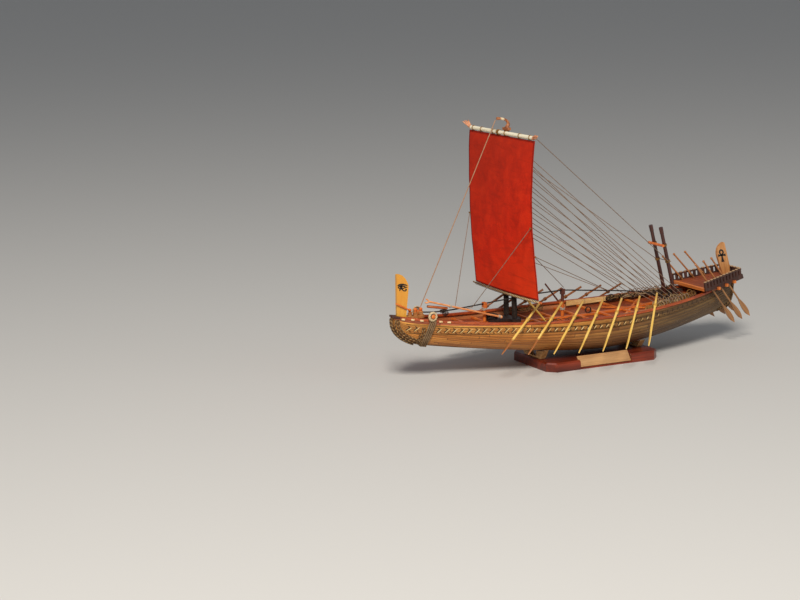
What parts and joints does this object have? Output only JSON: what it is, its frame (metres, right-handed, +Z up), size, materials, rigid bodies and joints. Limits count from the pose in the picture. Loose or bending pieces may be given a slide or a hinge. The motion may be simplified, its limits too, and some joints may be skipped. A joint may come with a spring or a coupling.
{
  "type": "ship model",
  "caption": "Wooden display model of an ancient seagoing ship with a square sail, oars, steering oars and rigging, on a base with cradles.",
  "frame": {"origin": "centre of the base board's underside", "axes": "+X towards the stern, -Y to port, +Z up"},
  "size_m": [0.3495, 0.1318, 0.2112],
  "materials": {
    "mahogany": "semi-gloss varnish",
    "red_brown_wood": "satin",
    "honey_wood": "satin, narrow planks",
    "orange_wood": "satin",
    "pale_wood": "bare, end grain showing",
    "ivory_wood": "painted, satin",
    "tan_wood": "satin",
    "dark_wood": "stained, satin",
    "black_wood": "painted, satin",
    "yellow_wood": "satin",
    "cream_wood": "matte",
    "red_cloth": "matte woven cotton",
    "brown_rope": "twisted cord",
    "thread": "twisted thread",
    "plate": "satin, bare"
  },
  "bodies": {
    "stand": {"base_board": "mahogany", "nameplate": "plate", "cradle_fore": "pale_wood", "cradle_aft": "pale_wood"},
    "ship": {"keel_plate": "honey_wood", "frame_fore": "pale_wood", "frame_mid": "pale_wood", "frame_aft": "pale_wood", "deck": "red_brown_wood", "deck_timbers": "orange_wood", "planking_port": "honey_wood", "gunwale_port": "red_brown_wood", "gallows_port": "dark_wood", "mast_leg_port": "black_wood", "planking_starboard": "honey_wood", "gunwale_starboard": "red_brown_wood", "gallows_starboard": "dark_wood", "mast_leg_starboard": "black_wood", "gallows_bar": "orange_wood", "mast_step": "black_wood", "mast_head": "red_brown_wood", "bow_post": "ivory_wood", "stern_post": "tan_wood", "stern_platform": "red_brown_wood", "railing_port": "dark_wood", "railing_starboard": "dark_wood", "railing_aft": "dark_wood", "yard": "cream_wood", "boom": "tan_wood", "sail": "red_cloth", "crutch_fore": "orange_wood", "crutch_mid": "dark_wood", "hogging_truss": "brown_rope", "girdle": "brown_rope", "boat_pole": "orange_wood", "forestay": "thread", "backstays": "thread", "yard_braces": "thread", "bowlines": "thread", "sheets": "thread"},
    "oar_port_1": {"oar_port_1": "yellow_wood"},
    "oar_port_2": {"oar_port_2": "yellow_wood"},
    "oar_port_3": {"oar_port_3": "yellow_wood"},
    "oar_port_4": {"oar_port_4": "yellow_wood"},
    "oar_port_5": {"oar_port_5": "yellow_wood"},
    "oar_port_6": {"oar_port_6": "yellow_wood"},
    "oar_port_7": {"oar_port_7": "yellow_wood"},
    "steering_oar_port_1": {"steering_oar_port_1": "tan_wood"},
    "steering_oar_port_2": {"steering_oar_port_2": "tan_wood"},
    "steering_oar_port_3": {"steering_oar_port_3": "tan_wood"},
    "oar_starboard_1": {"oar_starboard_1": "yellow_wood"},
    "oar_starboard_2": {"oar_starboard_2": "yellow_wood"},
    "oar_starboard_3": {"oar_starboard_3": "yellow_wood"},
    "oar_starboard_4": {"oar_starboard_4": "yellow_wood"},
    "oar_starboard_5": {"oar_starboard_5": "yellow_wood"},
    "oar_starboard_6": {"oar_starboard_6": "yellow_wood"},
    "oar_starboard_7": {"oar_starboard_7": "yellow_wood"},
    "steering_oar_starboard_1": {"steering_oar_starboard_1": "tan_wood"},
    "steering_oar_starboard_2": {"steering_oar_starboard_2": "tan_wood"},
    "steering_oar_starboard_3": {"steering_oar_starboard_3": "tan_wood"}
  },
  "joints": [
    {"name": "hull_lift", "type": "slide", "parent": "stand", "child": "ship", "axis": [0, 0, 1], "range_m": [0, 0.06]},
    {"name": "oar_port_1_swing", "type": "hinge", "parent": "ship", "child": "oar_port_1", "pos_m": [-0.0769, -0.03353, 0.048], "axis": [0, 0, 1], "range_deg": [-12, 12]},
    {"name": "oar_port_2_swing", "type": "hinge", "parent": "ship", "child": "oar_port_2", "pos_m": [-0.0564, -0.03713, 0.04728], "axis": [0, 0, 1], "range_deg": [-12, 12]},
    {"name": "oar_port_3_swing", "type": "hinge", "parent": "ship", "child": "oar_port_3", "pos_m": [-0.0359, -0.03951, 0.04688], "axis": [0, 0, 1], "range_deg": [-12, 12]},
    {"name": "oar_port_4_swing", "type": "hinge", "parent": "ship", "child": "oar_port_4", "pos_m": [-0.0154, -0.04055, 0.04672], "axis": [0, 0, 1], "range_deg": [-12, 12]},
    {"name": "oar_port_5_swing", "type": "hinge", "parent": "ship", "child": "oar_port_5", "pos_m": [0.0051, -0.04028, 0.04671], "axis": [0, 0, 1], "range_deg": [-12, 12]},
    {"name": "oar_port_6_swing", "type": "hinge", "parent": "ship", "child": "oar_port_6", "pos_m": [0.0256, -0.03883, 0.04704], "axis": [0, 0, 1], "range_deg": [-12, 12]},
    {"name": "oar_port_7_swing", "type": "hinge", "parent": "ship", "child": "oar_port_7", "pos_m": [0.0461, -0.03625, 0.04781], "axis": [0, 0, 1], "range_deg": [-12, 12]},
    {"name": "steering_oar_port_1_turn", "type": "hinge", "parent": "ship", "child": "steering_oar_port_1", "pos_m": [0.1142, -0.02077, 0.0546], "axis": [-0.6481, -0.1271, 0.7509], "range_deg": [-35, 35]},
    {"name": "steering_oar_port_2_turn", "type": "hinge", "parent": "ship", "child": "steering_oar_port_2", "pos_m": [0.1242, -0.01828, 0.05609], "axis": [-0.6481, -0.1271, 0.7509], "range_deg": [-35, 35]},
    {"name": "steering_oar_port_3_turn", "type": "hinge", "parent": "ship", "child": "steering_oar_port_3", "pos_m": [0.1342, -0.0158, 0.05759], "axis": [-0.6481, -0.1271, 0.7509], "range_deg": [-35, 35]},
    {"name": "oar_starboard_1_swing", "type": "hinge", "parent": "ship", "child": "oar_starboard_1", "pos_m": [-0.0769, 0.03353, 0.048], "axis": [0, 0, 1], "range_deg": [-12, 12]},
    {"name": "oar_starboard_2_swing", "type": "hinge", "parent": "ship", "child": "oar_starboard_2", "pos_m": [-0.0564, 0.03713, 0.04728], "axis": [0, 0, 1], "range_deg": [-12, 12]},
    {"name": "oar_starboard_3_swing", "type": "hinge", "parent": "ship", "child": "oar_starboard_3", "pos_m": [-0.0359, 0.03951, 0.04688], "axis": [0, 0, 1], "range_deg": [-12, 12]},
    {"name": "oar_starboard_4_swing", "type": "hinge", "parent": "ship", "child": "oar_starboard_4", "pos_m": [-0.0154, 0.04055, 0.04672], "axis": [0, 0, 1], "range_deg": [-12, 12]},
    {"name": "oar_starboard_5_swing", "type": "hinge", "parent": "ship", "child": "oar_starboard_5", "pos_m": [0.0051, 0.04028, 0.04671], "axis": [0, 0, 1], "range_deg": [-12, 12]},
    {"name": "oar_starboard_6_swing", "type": "hinge", "parent": "ship", "child": "oar_starboard_6", "pos_m": [0.0256, 0.03883, 0.04704], "axis": [0, 0, 1], "range_deg": [-12, 12]},
    {"name": "oar_starboard_7_swing", "type": "hinge", "parent": "ship", "child": "oar_starboard_7", "pos_m": [0.0461, 0.03625, 0.04781], "axis": [0, 0, 1], "range_deg": [-12, 12]},
    {"name": "steering_oar_starboard_1_turn", "type": "hinge", "parent": "ship", "child": "steering_oar_starboard_1", "pos_m": [0.1142, 0.02077, 0.0546], "axis": [-0.6481, 0.1271, 0.7509], "range_deg": [-35, 35]},
    {"name": "steering_oar_starboard_2_turn", "type": "hinge", "parent": "ship", "child": "steering_oar_starboard_2", "pos_m": [0.1242, 0.01828, 0.05609], "axis": [-0.6481, 0.1271, 0.7509], "range_deg": [-35, 35]},
    {"name": "steering_oar_starboard_3_turn", "type": "hinge", "parent": "ship", "child": "steering_oar_starboard_3", "pos_m": [0.1342, 0.0158, 0.05759], "axis": [-0.6481, 0.1271, 0.7509], "range_deg": [-35, 35]}
  ]
}
